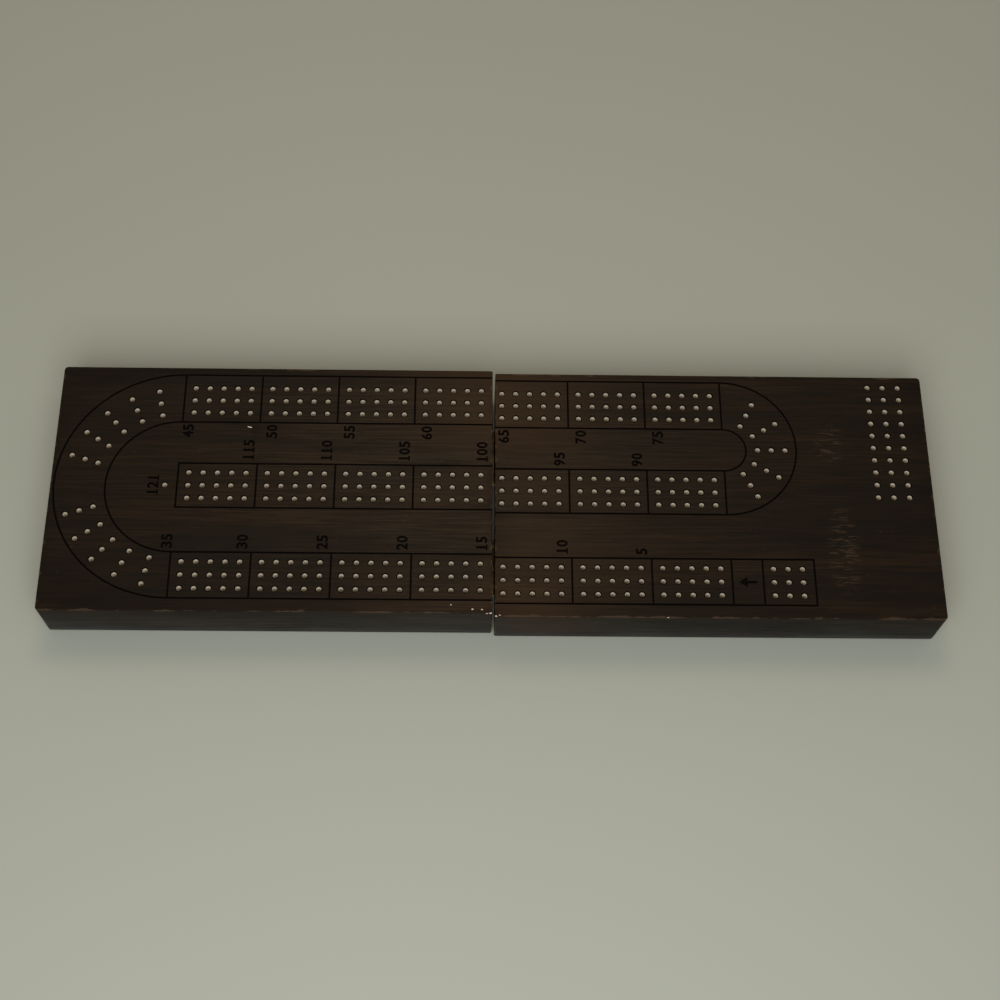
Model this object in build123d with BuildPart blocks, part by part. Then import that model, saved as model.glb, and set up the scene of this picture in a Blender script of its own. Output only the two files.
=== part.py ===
from build123d import *

import os
from math import atan2, cos, degrees, pi, radians, sin

# A folding cribbage box in two milled hardwood halves, seen with the playing face up. The seam between
# the halves is the plane x = 0, +Y points away from the player, and the feet stand on z = 0. The halves
# fold about the hinge line along Y, underside to underside. The left half holds a well for a deck of
# cards, open below, and the right half holds a drawer for the pegs, which pulls out of its outer end.

os.makedirs("parts", exist_ok=True)

# Peg track, in millimetres as all sizes here
lanes = 3
holes_in_group = 5
hole_pitch = 6.05  # along a lane
group_gap = 9.04  # from the last hole of a group to the first of the next
lane_pitch = 5.92
outer_lane_y = 46.55  # outer lane of the two long straights, from the middle line
return_row_y = 6.05  # farthest lane of the row that runs home between the straights
left_groups = 4
right_groups = 3
left_seam_margin = 5.5  # from the seam to the nearest column of the left half
right_seam_margin = 3.4  # the same on the right half, far straight and return row
near_seam_margin = 3.9  # and on its near straight
edge_margin = 10.05  # from the outer lane to the board's long edge
end_margin = 5.65  # from the outermost hole of the left bend to the outer end

# Bends of the track
bend_columns = 5  # on the right bend, and on each quarter of the left bend
left_bend_offset = 6.65  # from the last column of the straights to the bend's centre
left_bend_inset = 0.95  # how far the bend's lanes run inside the straights' lanes
left_bend_first = 11.4  # degrees from the bend's start to its first column
left_bend_step = 15.25  # degrees
right_bend_offset = 6.45
right_bend_inset = 1.35
right_bend_step = 30.9  # degrees

# Holes off the track
start_columns = 3
start_gap = 22.0  # from the first scoring column to the start block
finish_gap = 9.7  # from the last scoring column to the single winning hole
tally_columns = 3
tally_rows = 10
tally_column_pitch = 6.65
tally_row_pitch = 5.87
tally_end_margin = 10.3
tally_edge_margin = 5.25

# Peg holes, drilled blind. There are 400, so each is a plain six-sided prism in the drill's circle.
peg_hole_radius = 1.3
peg_hole_depth = 6.0
peg_hole_sides = 6
wood_under_holes = 1.0

# Halves
board_thickness = 24.0
seam_gap = 1.1
seam_step = 1.3  # the left half sits this much farther back than the right one
outer_corner_radius = 1.7
arris_chamfer = 0.6  # round the playing face
lower_chamfer = 0.5

# Card well in the left half
deck_length = 89.0
deck_width = 64.0
deck_clearance = 1.5
well_corner_radius = 4.0
scoop_radius = 11.0  # half-round finger scoops beside the deck
scoop_depth = 10.0

# Peg drawer in the right half
bay_length = 128.0
bay_width = 90.0
bay_floor_thickness = 3.0
bay_floor_lip = 6.0  # how far the floor panel laps the wood round the bay
panel_clearance = 0.15
slide_clearance = 0.3
bay_end_gap = 0.8
drawer_front_thickness = 9.0
drawer_front_lip = 4.0  # front left standing outside the sides' rabbets
drawer_wall = 4.0
drawer_bottom_thickness = 2.0
drawer_bottom_rise = 1.5  # from the walls' lower edge to the bottom's underside
housing_depth = 1.5  # of the grooves and housings in the walls
joint_clearance = 0.05
back_inset = 3.0
divider_thickness = 3.0
divider_drop = 1.5
peg_room = 62.0  # clear length of the compartment behind the front
pull_radius = 14.0
pull_depth = 6.0
pull_lip = 3.0
pull_notch_radius = 11.0
stop_pin_radius = 1.5
stop_pin_sides = 12
stop_pin_stand = 1.1
stop_pin_gap = 1.0
stop_clearance = 0.3

# Hinges, let in flush on the underside with their barrels in the seam
hinge_offset = 26.2  # from the middle line to each hinge's middle
leaf_length = 25.0
leaf_reach = 9.5  # from the pin's axis to the leaf's free edge
leaf_thickness = 1.0
barrel_radius = 1.4
barrel_sides = 12
bore_sides = 8
knuckles = 5
knuckle_gap = 0.2
knuckle_clearance = 0.2
pin_radius = 0.7
pin_clearance = 0.05
pin_overhang = 0.4
seat_clearance = 0.05
relief_clearance = 0.3

# Brass countersunk wood screws
screw_head_radius = 1.8
screw_head_depth = 0.8
screw_shank_radius = 0.9
screw_sides = 8
screw_clearance = 0.05
leaf_screw_length = 6.0
leaf_screw_spread = 15.0
panel_screw_length = 9.0
panel_screw_end_margin = 12.0

# Felt feet, taller than the barrels by the floor clearance
floor_clearance = 0.1
foot_radius = 4.5
foot_sides = 20
foot_end_margin = 11.0
left_foot_edge_margin = 11.0
right_foot_edge_margin = 25.0
fold_clearance = 0.3

# Heights
foot_height = barrel_radius + floor_clearance
underside_z = foot_height
top_z = underside_z + board_thickness
top_wall = peg_hole_depth + wood_under_holes
pocket_top_z = top_z - top_wall
bay_floor_z = underside_z + bay_floor_thickness

# Lengths, worked out from the track
group_pitch = (holes_in_group - 1) * hole_pitch + group_gap
left_run = (left_groups - 1) * group_pitch + (holes_in_group - 1) * hole_pitch
right_run = (right_groups - 1) * group_pitch + (holes_in_group - 1) * hole_pitch
left_first_x = -left_seam_margin - left_run
left_bend_x = left_first_x - left_bend_offset
left_bend_radius = outer_lane_y - left_bend_inset
end_x = left_bend_radius + end_margin - left_bend_x
seam_x = seam_gap / 2
half_length = end_x - seam_x
half_x = seam_x + half_length / 2
board_width = 2 * (outer_lane_y + edge_margin)
left_y = seam_step / 2
right_y = -seam_step / 2


def straight_holes(first_x, first_y, groups):
    """Columns of three holes in groups, from the leftmost column and the farthest lane."""
    columns = [
        first_x + group * group_pitch + place * hole_pitch
        for group in range(groups)
        for place in range(holes_in_group)
    ]
    return [(x, first_y - lane * lane_pitch) for x in columns for lane in range(lanes)]


def bend_holes(centre_x, centre_y, outer_radius, angles):
    """Columns of three holes across a bend, at angles clockwise from +Y."""
    radii = [outer_radius - lane * lane_pitch for lane in range(lanes)]
    return [
        (centre_x + r * sin(radians(a)), centre_y + r * cos(radians(a))) for a in angles for r in radii
    ]


def shifted(points, shift_y):
    """The same places on a half whose middle line is moved by shift_y."""
    return [(x, y + shift_y) for x, y in points]


# Left half: three straights, the long bend and the winning hole
near_lane_y = (lanes - 1) * lane_pitch - outer_lane_y
left_quarter = [left_bend_first + k * left_bend_step for k in range(bend_columns)]
left_angles = [180 + a for a in left_quarter] + [360 - a for a in left_quarter]
left_holes = (
    straight_holes(left_first_x, outer_lane_y, left_groups)
    + straight_holes(left_first_x, return_row_y, left_groups)
    + straight_holes(left_first_x, near_lane_y, left_groups)
    + bend_holes(left_bend_x, 0, left_bend_radius, left_angles)
    + [(left_first_x - finish_gap, return_row_y - (lanes - 1) / 2 * lane_pitch)]
)

# Right half: three straights, the short bend, the start block and the tally of games
right_last_x = right_seam_margin + right_run
near_last_x = near_seam_margin + right_run
return_outer_y = return_row_y - (lanes - 1) * lane_pitch
right_bend_radius = (outer_lane_y - return_outer_y) / 2 - right_bend_inset
right_angles = [90 + (k - (bend_columns - 1) / 2) * right_bend_step for k in range(bend_columns)]
start_holes = [
    (near_last_x + start_gap + column * hole_pitch, near_lane_y - lane * lane_pitch)
    for column in range(start_columns)
    for lane in range(lanes)
]
tally_holes = [
    (end_x - tally_end_margin - column * tally_column_pitch,
     board_width / 2 - tally_edge_margin - row * tally_row_pitch)
    for column in range(tally_columns)
    for row in range(tally_rows)
]
right_holes = (
    straight_holes(right_seam_margin, outer_lane_y, right_groups)
    + straight_holes(right_seam_margin, return_row_y, right_groups)
    + straight_holes(near_seam_margin, near_lane_y, right_groups)
    + bend_holes(
        right_last_x + right_bend_offset, (outer_lane_y + return_outer_y) / 2, right_bend_radius, right_angles
    )
    + start_holes
    + tally_holes
)

# Hinge screws, as distances from the pin's axis and from the hinge's middle
leaf_screw_x = (barrel_radius + leaf_reach) / 2
leaf_screw_places = [(leaf_screw_x, -leaf_screw_spread / 2), (leaf_screw_x, leaf_screw_spread / 2)]
hinge_ys = [-hinge_offset, hinge_offset]
upwards = Plane.XY.offset(underside_z)


def leaf_screw_points(side):
    """Screw places of both hinges on one half; side is -1 for the left half and 1 for the right."""
    return [(side * x, hinge_y + y, underside_z) for hinge_y in hinge_ys for x, y in leaf_screw_places]


def screw_solid(length, ease=0.0):
    """A screw pointing up from its head's face on z = 0, or with an ease the hole that it sinks into."""
    head_inset = (screw_head_radius - screw_shank_radius) * cos(pi / screw_sides)
    with BuildPart() as screw:
        with BuildSketch():
            RegularPolygon(screw_head_radius + ease, screw_sides)
        extrude(amount=screw_head_depth, taper=degrees(atan2(head_inset, screw_head_depth)))
        with BuildSketch(Plane.XY.offset(screw_head_depth)):
            RegularPolygon(screw_shank_radius + ease, screw_sides)
        extrude(amount=length + ease - screw_head_depth)
    return screw.part


leaf_screw = screw_solid(leaf_screw_length)
leaf_screw_hole = screw_solid(leaf_screw_length, screw_clearance)
panel_screw = screw_solid(panel_screw_length)
panel_screw_hole = screw_solid(panel_screw_length, screw_clearance)


# Left half, with the card well, the finger scoops and the hinge mortises
with BuildPart() as left_half:
    with BuildSketch(upwards):
        with Locations((-half_x, left_y)):
            Rectangle(half_length, board_width)
    extrude(amount=board_thickness)
    fillet(left_half.edges().filter_by(Axis.Z).group_by(Axis.X)[0], outer_corner_radius)
    chamfer(left_half.faces().sort_by(Axis.Z)[-1].edges(), arris_chamfer)
    chamfer(left_half.faces().sort_by(Axis.Z)[0].edges(), lower_chamfer)
    with BuildSketch(upwards):
        with Locations((-half_x, left_y)):
            RectangleRounded(
                deck_width + 2 * deck_clearance, deck_length + 2 * deck_clearance, well_corner_radius
            )
    extrude(amount=pocket_top_z - underside_z, mode=Mode.SUBTRACT)
    with BuildSketch(upwards):
        scoop_x = deck_width / 2 + deck_clearance
        with Locations((-half_x - scoop_x, left_y), (-half_x + scoop_x, left_y)):
            Circle(scoop_radius)
    extrude(amount=scoop_depth, mode=Mode.SUBTRACT)
    with BuildSketch(upwards):
        with Locations(*[(-(leaf_reach + seat_clearance) / 2, y) for y in hinge_ys]):
            Rectangle(leaf_reach + seat_clearance, leaf_length + 2 * seat_clearance)
    extrude(amount=leaf_thickness + seat_clearance, mode=Mode.SUBTRACT)
    with Locations(*[(0, y, underside_z) for y in hinge_ys]):
        Cylinder(
            barrel_radius + relief_clearance,
            leaf_length + 2 * (pin_overhang + relief_clearance),
            rotation=(90, 0, 0),
            mode=Mode.SUBTRACT,
        )
    with Locations(*leaf_screw_points(-1)):
        add(leaf_screw_hole, mode=Mode.SUBTRACT)
    with BuildSketch(Plane.XY.offset(top_z)):
        with Locations(*shifted(left_holes, left_y)):
            RegularPolygon(peg_hole_radius, peg_hole_sides)
    extrude(amount=-peg_hole_depth, mode=Mode.SUBTRACT)
left_half.part.label = "left_half"
export_step(left_half.part, "parts/left_half.step")

# Places round the drawer, all measured from the outer end of the right half
bay_back_x = end_x - bay_length
floor_panel_length = bay_length + bay_floor_lip
floor_panel_width = bay_width + 2 * bay_floor_lip
panel_screw_y = (bay_width + bay_floor_lip) / 2
panel_screw_points = [
    (x, right_y + side * panel_screw_y, underside_z)
    for x in (bay_back_x + panel_screw_end_margin, end_x - bay_length / 2, end_x - panel_screw_end_margin)
    for side in (-1, 1)
]
pocket_overrun = 2 * outer_corner_radius

# Right half, with the drawer bay milled from below and left open at the outer end
with BuildPart() as right_half:
    with BuildSketch(upwards):
        with Locations((half_x, right_y)):
            Rectangle(half_length, board_width)
    extrude(amount=board_thickness)
    fillet(right_half.edges().filter_by(Axis.Z).group_by(Axis.X)[-1], outer_corner_radius)
    chamfer(right_half.faces().sort_by(Axis.Z)[-1].edges(), arris_chamfer)
    chamfer(right_half.faces().sort_by(Axis.Z)[0].edges(), lower_chamfer)
    with BuildSketch(upwards):
        with Locations((bay_back_x, right_y)):
            Rectangle(bay_length + pocket_overrun, bay_width, align=(Align.MIN, Align.CENTER))
    extrude(amount=pocket_top_z - underside_z, mode=Mode.SUBTRACT)
    with BuildSketch(upwards):
        with Locations((bay_back_x - bay_floor_lip, right_y)):
            Rectangle(
                floor_panel_length + pocket_overrun, floor_panel_width, align=(Align.MIN, Align.CENTER)
            )
    extrude(amount=bay_floor_thickness, mode=Mode.SUBTRACT)
    with Locations(*panel_screw_points):
        add(panel_screw_hole, mode=Mode.SUBTRACT)
    with BuildSketch(upwards):
        with Locations(*[((leaf_reach + seat_clearance) / 2, y) for y in hinge_ys]):
            Rectangle(leaf_reach + seat_clearance, leaf_length + 2 * seat_clearance)
    extrude(amount=leaf_thickness + seat_clearance, mode=Mode.SUBTRACT)
    with Locations(*[(0, y, underside_z) for y in hinge_ys]):
        Cylinder(
            barrel_radius + relief_clearance,
            leaf_length + 2 * (pin_overhang + relief_clearance),
            rotation=(90, 0, 0),
            mode=Mode.SUBTRACT,
        )
    with Locations(*leaf_screw_points(1)):
        add(leaf_screw_hole, mode=Mode.SUBTRACT)
    with BuildSketch(Plane.XY.offset(top_z)):
        with Locations(*shifted(right_holes, right_y)):
            RegularPolygon(peg_hole_radius, peg_hole_sides)
    extrude(amount=-peg_hole_depth, mode=Mode.SUBTRACT)
right_half.part.label = "right_half"
export_step(right_half.part, "parts/right_half.step")

# Places of the drawer's own pieces
drawer_low_z = bay_floor_z + slide_clearance
drawer_height = pocket_top_z - slide_clearance - drawer_low_z
drawer_width = bay_width - 2 * slide_clearance
inner_width = drawer_width - 2 * drawer_wall
drawer_back_x = bay_back_x + bay_end_gap
front_back_x = end_x - drawer_front_thickness
side_end_x = end_x - drawer_front_lip
back_x = drawer_back_x + back_inset
back_face_x = back_x + drawer_wall
divider_x = front_back_x - peg_room - divider_thickness
bottom_z = drawer_low_z + drawer_bottom_rise
bottom_top_z = bottom_z + drawer_bottom_thickness
stop_pin_x = front_back_x - stop_pin_gap - stop_pin_radius
drawer_travel = stop_pin_x - stop_pin_radius - back_face_x - stop_clearance

# Floor panel that closes the bay from below, with the finger notch at its outer end
with BuildPart() as bay_floor:
    with BuildSketch(upwards):
        with Locations((end_x, right_y)):
            Rectangle(
                floor_panel_length - panel_clearance,
                floor_panel_width - 2 * panel_clearance,
                align=(Align.MAX, Align.CENTER),
            )
        with Locations((end_x, right_y)):
            Circle(pull_notch_radius, mode=Mode.SUBTRACT)
    extrude(amount=bay_floor_thickness)
    with Locations(*panel_screw_points):
        add(panel_screw_hole, mode=Mode.SUBTRACT)
    with BuildSketch(upwards):
        with Locations((stop_pin_x, right_y)):
            RegularPolygon(stop_pin_radius + screw_clearance, stop_pin_sides)
    extrude(amount=bay_floor_thickness, mode=Mode.SUBTRACT)
bay_floor.part.label = "bay_floor"
export_step(bay_floor.part, "parts/bay_floor.step")

with BuildPart() as bay_floor_screws:
    with Locations(*panel_screw_points):
        add(panel_screw)
bay_floor_screws.part.label = "bay_floor_screws"
export_step(bay_floor_screws.part, "parts/bay_floor_screws.step")

# Pin that the drawer's back runs up against when the drawer is fully out
with BuildPart() as drawer_stop_pin:
    with BuildSketch(upwards):
        with Locations((stop_pin_x, right_y)):
            RegularPolygon(stop_pin_radius, stop_pin_sides)
    extrude(amount=bay_floor_thickness + stop_pin_stand)
drawer_stop_pin.part.label = "drawer_stop_pin"
export_step(drawer_stop_pin.part, "parts/drawer_stop_pin.step")

# Drawer front, flush with the outer end, rabbeted for the sides and scooped for a fingertip
with BuildPart() as drawer_front:
    with BuildSketch(Plane.XY.offset(drawer_low_z)):
        with Locations((front_back_x, right_y)):
            Rectangle(drawer_front_thickness, drawer_width, align=(Align.MIN, Align.CENTER))
        with Locations(
            (front_back_x, right_y - drawer_width / 2 + drawer_wall / 2),
            (front_back_x, right_y + drawer_width / 2 - drawer_wall / 2),
        ):
            Rectangle(
                side_end_x - front_back_x,
                drawer_wall,
                align=(Align.MIN, Align.CENTER),
                mode=Mode.SUBTRACT,
            )
    extrude(amount=drawer_height)
    with BuildSketch(Plane.XY.offset(drawer_low_z)):
        with Locations((end_x + pull_radius - pull_depth, right_y)):
            Circle(pull_radius)
    extrude(amount=drawer_height - pull_lip, mode=Mode.SUBTRACT)
    with BuildSketch(Plane.XY.offset(bottom_z)):
        with Locations((front_back_x, right_y)):
            Rectangle(housing_depth, inner_width, align=(Align.MIN, Align.CENTER))
    extrude(amount=drawer_bottom_thickness + joint_clearance, mode=Mode.SUBTRACT)
drawer_front.part.label = "drawer_front"
export_step(drawer_front.part, "parts/drawer_front.step")

# Drawer sides, housed for the back and the divider and grooved for the bottom
side_names = {"drawer_near_side": -1, "drawer_far_side": 1}
for side_name, side in side_names.items():
    side_y = right_y + side * (drawer_width - drawer_wall) / 2
    inner_face_y = right_y + side * inner_width / 2
    housing_y = inner_face_y + side * housing_depth / 2
    with BuildPart() as drawer_side:
        with BuildSketch(Plane.XY.offset(drawer_low_z)):
            with Locations((drawer_back_x, side_y)):
                Rectangle(side_end_x - drawer_back_x, drawer_wall, align=(Align.MIN, Align.CENTER))
            with Locations((back_x, housing_y)):
                Rectangle(
                    drawer_wall + joint_clearance,
                    housing_depth,
                    align=(Align.MIN, Align.CENTER),
                    mode=Mode.SUBTRACT,
                )
        extrude(amount=drawer_height)
        with BuildSketch(Plane.XY.offset(bottom_z)):
            with Locations((back_face_x, housing_y)):
                Rectangle(
                    front_back_x + housing_depth - back_face_x,
                    housing_depth,
                    align=(Align.MIN, Align.CENTER),
                )
        extrude(amount=drawer_bottom_thickness + joint_clearance, mode=Mode.SUBTRACT)
        with BuildSketch(Plane.XY.offset(bottom_z)):
            with Locations((divider_x, housing_y)):
                Rectangle(
                    divider_thickness + joint_clearance, housing_depth, align=(Align.MIN, Align.CENTER)
                )
        extrude(amount=drawer_height, mode=Mode.SUBTRACT)
    drawer_side.part.label = side_name
    export_step(drawer_side.part, f"parts/{side_name}.step")

# Drawer back, whose lower edge meets the stop pin
with BuildPart() as drawer_back:
    with BuildSketch(Plane.XY.offset(drawer_low_z)):
        with Locations((back_x, right_y)):
            Rectangle(
                drawer_wall,
                inner_width + 2 * (housing_depth - joint_clearance),
                align=(Align.MIN, Align.CENTER),
            )
    extrude(amount=drawer_height)
    with BuildSketch(Plane.XY.offset(bottom_z)):
        with Locations((back_face_x, right_y)):
            Rectangle(housing_depth, drawer_width, align=(Align.MAX, Align.CENTER))
    extrude(amount=drawer_bottom_thickness + joint_clearance, mode=Mode.SUBTRACT)
drawer_back.part.label = "drawer_back"
export_step(drawer_back.part, "parts/drawer_back.step")

# Thin bottom, held in the grooves of the front, sides and back
with BuildPart() as drawer_bottom:
    bottom_low_x = back_face_x - housing_depth + joint_clearance
    bottom_high_x = front_back_x + housing_depth - joint_clearance
    bottom_width = inner_width + 2 * (housing_depth - joint_clearance)
    with BuildSketch(Plane.XY.offset(bottom_z)):
        with Locations((bottom_low_x, right_y)):
            Rectangle(bottom_high_x - bottom_low_x, inner_width, align=(Align.MIN, Align.CENTER))
        with Locations((back_face_x, right_y)):
            Rectangle(front_back_x - back_face_x, bottom_width, align=(Align.MIN, Align.CENTER))
    extrude(amount=drawer_bottom_thickness)
drawer_bottom.part.label = "drawer_bottom"
export_step(drawer_bottom.part, "parts/drawer_bottom.step")

# Divider between the peg compartment and the rest
with BuildPart() as drawer_divider:
    with BuildSketch(Plane.XY.offset(bottom_top_z)):
        with Locations((divider_x, right_y)):
            Rectangle(
                divider_thickness,
                inner_width + 2 * (housing_depth - joint_clearance),
                align=(Align.MIN, Align.CENTER),
            )
    extrude(amount=drawer_low_z + drawer_height - divider_drop - bottom_top_z)
drawer_divider.part.label = "drawer_divider"
export_step(drawer_divider.part, "parts/drawer_divider.step")

# Hinges: interleaved knuckles round one pin, the outer knuckles on the left leaf
knuckle_length = (leaf_length - (knuckles - 1) * knuckle_gap) / knuckles
knuckle_step = knuckle_length + knuckle_gap
hinge_names = {"front_hinge": -hinge_offset, "back_hinge": hinge_offset}
leaf_sides = {"left_leaf": -1, "right_leaf": 1}


def along_hinge(points):
    """Planes at points on the pin's axis, facing along it."""
    return [Plane(origin=point, z_dir=(0, 1, 0)) for point in points]


for hinge_name, hinge_y in hinge_names.items():
    knuckle_points = [
        (0, hinge_y + (k - (knuckles - 1) / 2) * knuckle_step, underside_z) for k in range(knuckles)
    ]
    for leaf_name, side in leaf_sides.items():
        own_points = knuckle_points[0::2] if side < 0 else knuckle_points[1::2]
        other_points = knuckle_points[1::2] if side < 0 else knuckle_points[0::2]
        with BuildPart() as hinge_leaf:
            with BuildSketch(upwards):
                with Locations((side * leaf_reach / 2, hinge_y)):
                    Rectangle(leaf_reach, leaf_length)
            extrude(amount=leaf_thickness)
            with BuildSketch(*along_hinge(other_points)):
                RegularPolygon(barrel_radius + knuckle_clearance, barrel_sides, major_radius=False)
            extrude(amount=knuckle_length / 2 + knuckle_gap, both=True, mode=Mode.SUBTRACT)
            with BuildSketch(*along_hinge(own_points)):
                RegularPolygon(barrel_radius, barrel_sides)
            extrude(amount=knuckle_length / 2, both=True)
            with BuildSketch(*along_hinge([(0, hinge_y, underside_z)])):
                RegularPolygon(pin_radius + pin_clearance, bore_sides, major_radius=False)
            extrude(amount=leaf_length / 2, both=True, mode=Mode.SUBTRACT)
            with Locations(*leaf_screw_points(side)):
                add(leaf_screw_hole, mode=Mode.SUBTRACT)
        hinge_leaf.part.label = f"{hinge_name}_{leaf_name}"
        export_step(hinge_leaf.part, f"parts/{hinge_name}_{leaf_name}.step")
    with BuildPart() as hinge_pin:
        with BuildSketch(*along_hinge([(0, hinge_y, underside_z)])):
            RegularPolygon(pin_radius, bore_sides)
        extrude(amount=leaf_length / 2 + pin_overhang, both=True)
    hinge_pin.part.label = f"{hinge_name}_pin"
    export_step(hinge_pin.part, f"parts/{hinge_name}_pin.step")

screw_sets = {"left_leaf_screws": -1, "right_leaf_screws": 1}
for screw_set_name, side in screw_sets.items():
    with BuildPart() as leaf_screws:
        with Locations(*leaf_screw_points(side)):
            add(leaf_screw)
    leaf_screws.part.label = screw_set_name
    export_step(leaf_screws.part, f"parts/{screw_set_name}.step")

# Felt feet near the outer ends. The two pairs stand at different widths, so that they pass beside each
# other when the box is folded.
foot_x = end_x - foot_end_margin
foot_sets = {
    "left_feet": (-foot_x, left_y, left_foot_edge_margin),
    "right_feet": (foot_x, right_y, right_foot_edge_margin),
}
for foot_set_name, (x, middle_y, margin) in foot_sets.items():
    foot_y = board_width / 2 - margin
    with BuildPart() as feet:
        with BuildSketch(Plane.XY):
            with Locations((x, middle_y - foot_y), (x, middle_y + foot_y)):
                RegularPolygon(foot_radius, foot_sides)
        extrude(amount=foot_height)
    feet.part.label = foot_set_name
    export_step(feet.part, f"parts/{foot_set_name}.step")

# The fold ends where the feet meet the other half's underside.
fold_limit = 180 - degrees(atan2(foot_height + fold_clearance, foot_x - foot_radius))
print("half", round(half_length, 2), "x", round(board_width, 2), "mm, outer end at", round(end_x, 2))
print("peg holes", len(left_holes), "+", len(right_holes))
print("drawer travel", round(drawer_travel, 2), "mm, fold limit", round(fold_limit, 2), "degrees")
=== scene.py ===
# %% [markdown]
# # A folding cribbage box in dark stained wood
#
# This lesson dresses a cribbage box for its portrait. The real box is two milled blocks of pale
# hardwood, stained espresso brown and drilled afterwards, so that every peg hole shows bare wood
# inside a scorched rim. The outlines and numbers of the track are burnt in, a shade darker than the
# stain. The construction arrives as a fixed frame, and everything here is fine shape and finish laid
# over it.

# %% Load the frame
import math

import bmesh
import bpy
from mathutils import Matrix, Vector


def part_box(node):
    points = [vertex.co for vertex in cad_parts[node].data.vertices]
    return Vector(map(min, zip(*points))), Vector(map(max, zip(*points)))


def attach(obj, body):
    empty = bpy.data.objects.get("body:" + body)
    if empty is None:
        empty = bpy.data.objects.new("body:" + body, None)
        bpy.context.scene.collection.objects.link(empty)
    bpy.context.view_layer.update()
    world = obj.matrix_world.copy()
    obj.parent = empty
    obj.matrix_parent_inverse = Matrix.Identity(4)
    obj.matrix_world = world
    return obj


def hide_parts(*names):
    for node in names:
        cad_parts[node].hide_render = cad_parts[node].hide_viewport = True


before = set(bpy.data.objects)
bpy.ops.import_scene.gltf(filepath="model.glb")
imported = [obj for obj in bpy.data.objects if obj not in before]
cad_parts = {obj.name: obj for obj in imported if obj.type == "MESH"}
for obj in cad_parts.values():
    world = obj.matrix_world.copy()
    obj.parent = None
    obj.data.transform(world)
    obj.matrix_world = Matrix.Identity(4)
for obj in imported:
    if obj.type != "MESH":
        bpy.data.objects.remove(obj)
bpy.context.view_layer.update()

mm = 0.001
scene = bpy.context.scene

# %% [markdown]
# ## Camera
#
# The board is seen from in front and well above, a little askew. A camera in Blender looks along its
# own -Z, so three turns place it: a tilt up from straight down, a turn about the vertical, and a roll
# about the line of sight. Euler angles could hold all three, but the product of three plain turns is
# easier to read and to check.

# %% Place the camera
camera_data = bpy.data.cameras.new("camera")
camera_data.lens = 58.34
camera_data.sensor_width = 36
camera_data.clip_start = 0.01
camera = bpy.data.objects.new("camera", camera_data)
scene.collection.objects.link(camera)
scene.camera = camera

camera_turn = math.radians(-2.53)
camera_tilt = math.radians(24.41)
camera_roll = math.radians(2.81)
camera.location = (-9.85 * mm, -287.75 * mm, 649.4 * mm)
camera.rotation_euler = (
    Matrix.Rotation(camera_turn, 3, "Z")
    @ Matrix.Rotation(camera_tilt, 3, "X")
    @ Matrix.Rotation(camera_roll, 3, "Z")
).to_euler()
scene.view_settings.view_transform = "Standard"
print("camera with a", round(camera_data.lens, 1), "mm lens at", [round(v, 3) for v in camera.location])

# %% [markdown]
# ## Helpers for shader nodes
#
# The world and every material are trees of nodes. A tree can be wired by hand, one node and one link a
# line, but then the recipe is lost among the wires. Here one helper adds a node and fills its inputs:
# an input that is given another node's socket is linked to it, and one that is given a number or a
# colour holds it. The others are short names for the nodes that come back most.

# %% Node helpers


def feed(tree, value, socket):
    """Link a socket to an input, or write a plain value or colour into it."""
    if isinstance(value, bpy.types.NodeSocket):
        tree.links.new(value, socket)
    elif socket.type == "RGBA":
        socket.default_value = (*value, 1)
    else:
        socket.default_value = value


def add_node(tree, kind, inputs, **settings):
    """A shader node with its settings made and its inputs fed."""
    node = tree.nodes.new("ShaderNode" + kind)
    for name, value in settings.items():
        setattr(node, name, value)
    for key, value in inputs.items():
        feed(tree, value, node.inputs[key])
    return node


def math_node(tree, operation, *values):
    """A Math node; each value is a number or a socket."""
    return add_node(tree, "Math", dict(enumerate(values)), operation=operation).outputs["Value"]


def shader_mix(tree, factor, first, second):
    """One shader that gives way to another as the factor goes from 0 to 1."""
    return add_node(tree, "MixShader", {0: factor, 1: first, 2: second}).outputs["Shader"]


print("node helpers ready")

# %% [markdown]
# ## Light
#
# A dark satin board mostly shows what it mirrors. One soft, slightly warm lamp hangs behind and above
# it, where its mirror image lies on the middle of the playing face and fades towards both ends. A
# second lamp close to the camera lights the walls of the holes and leaves hardly any shadow, and an
# even world fills in the rest. The world has a second colour for camera and mirror rays, so that it
# looks as pale as the floor.

# %% Lamps


def soft_lamp(name, place, aim, size, power, colour):
    """A square area lamp at a place, turned to a point."""
    lamp_data = bpy.data.lights.new(name, "AREA")
    lamp_data.size = size
    lamp_data.energy = power
    lamp_data.color = colour
    lamp = bpy.data.objects.new(name, lamp_data)
    lamp.location = place
    lamp.rotation_euler = (Vector(aim) - Vector(place)).to_track_quat("-Z", "Y").to_euler()
    scene.collection.objects.link(lamp)
    return lamp


sheen_lamp = soft_lamp(
    "sheen_lamp", place=(-0.03, 0.50, 1.05), aim=(0, 0, 0), size=0.35, power=2.3, colour=(1.0, 0.74, 0.46)
)
front_lamp = soft_lamp(
    "front_lamp", place=(-0.03, -0.47, 0.55), aim=(0, -0.12, 0), size=0.45, power=3.2,
    colour=(1.0, 0.98, 0.93),
)
print("lamps:", sheen_lamp.name, "and", front_lamp.name)

# %% World
pale_ground = (0.385, 0.41, 0.372)
backdrop_level = 0.85
fill_colour = (0.97, 0.95, 0.86)
fill_level = 0.36

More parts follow.
